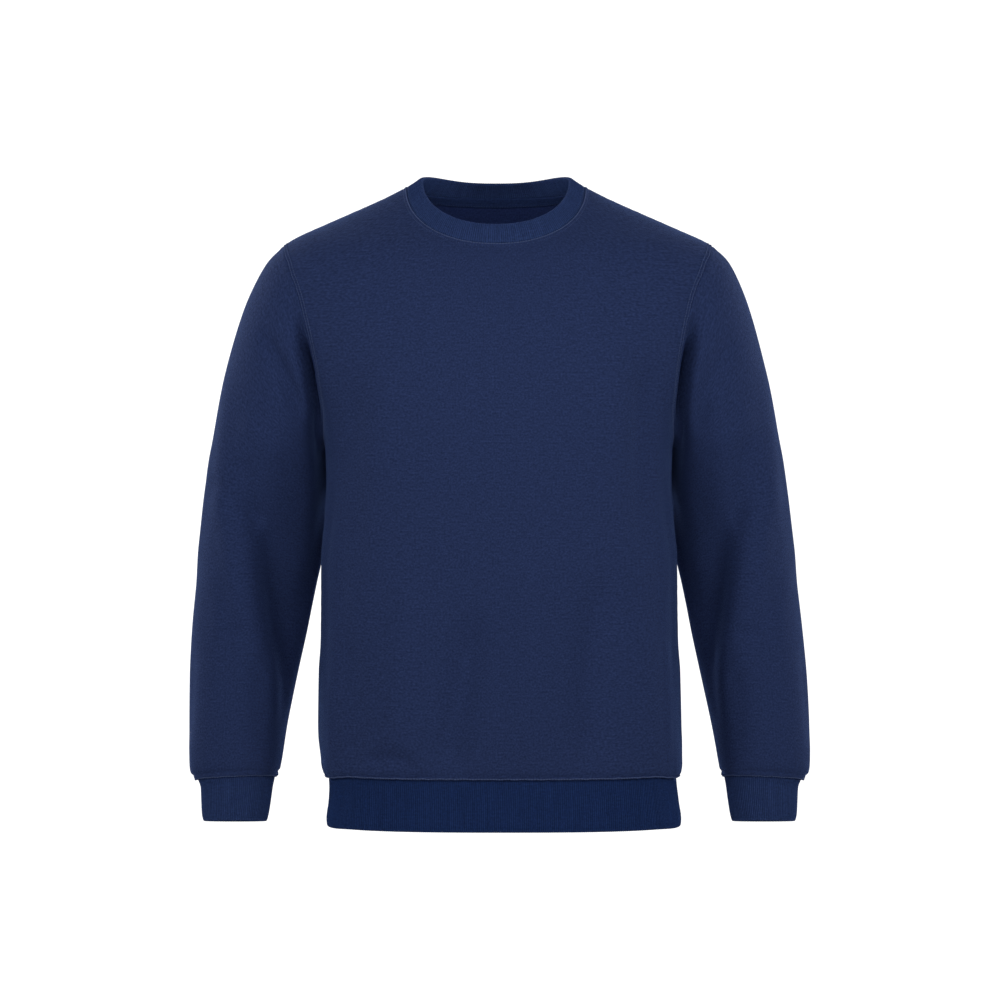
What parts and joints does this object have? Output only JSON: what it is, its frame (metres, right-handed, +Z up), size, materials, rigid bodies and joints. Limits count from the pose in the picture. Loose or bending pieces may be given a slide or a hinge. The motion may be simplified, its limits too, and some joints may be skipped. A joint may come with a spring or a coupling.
{
  "type": "crewneck sweatshirt",
  "caption": "Long-sleeved crewneck sweatshirt in plain fleece with a ribbed collar, hem band and cuffs, filled out and hollow as on a wearer.",
  "frame": {"origin": "on the middle plane, 2.5 mm below the line between the two points where the shoulder seams meet the collar, which is where a wearer's neck and shoulders hold the garment", "axes": "+Z up, -Y the way the garment faces, +X the wearer's left"},
  "size_m": [0.6496, 0.2485, 0.6814],
  "materials": {
    "fleece_navy": "matte loopback cotton fleece jersey, navy with a faint heather",
    "rib_navy": "matte 1x1 cotton rib, folded double, navy",
    "tape_navy": "matte self-fabric tape, navy"
  },
  "bodies": {
    "root": {"front": "fleece_navy", "back": "fleece_navy", "sleeve_left": "fleece_navy", "sleeve_right": "fleece_navy", "collar": "rib_navy", "waistband": "rib_navy", "cuff_left": "rib_navy", "cuff_right": "rib_navy", "neck_tape": "tape_navy"}
  },
  "joints": []
}
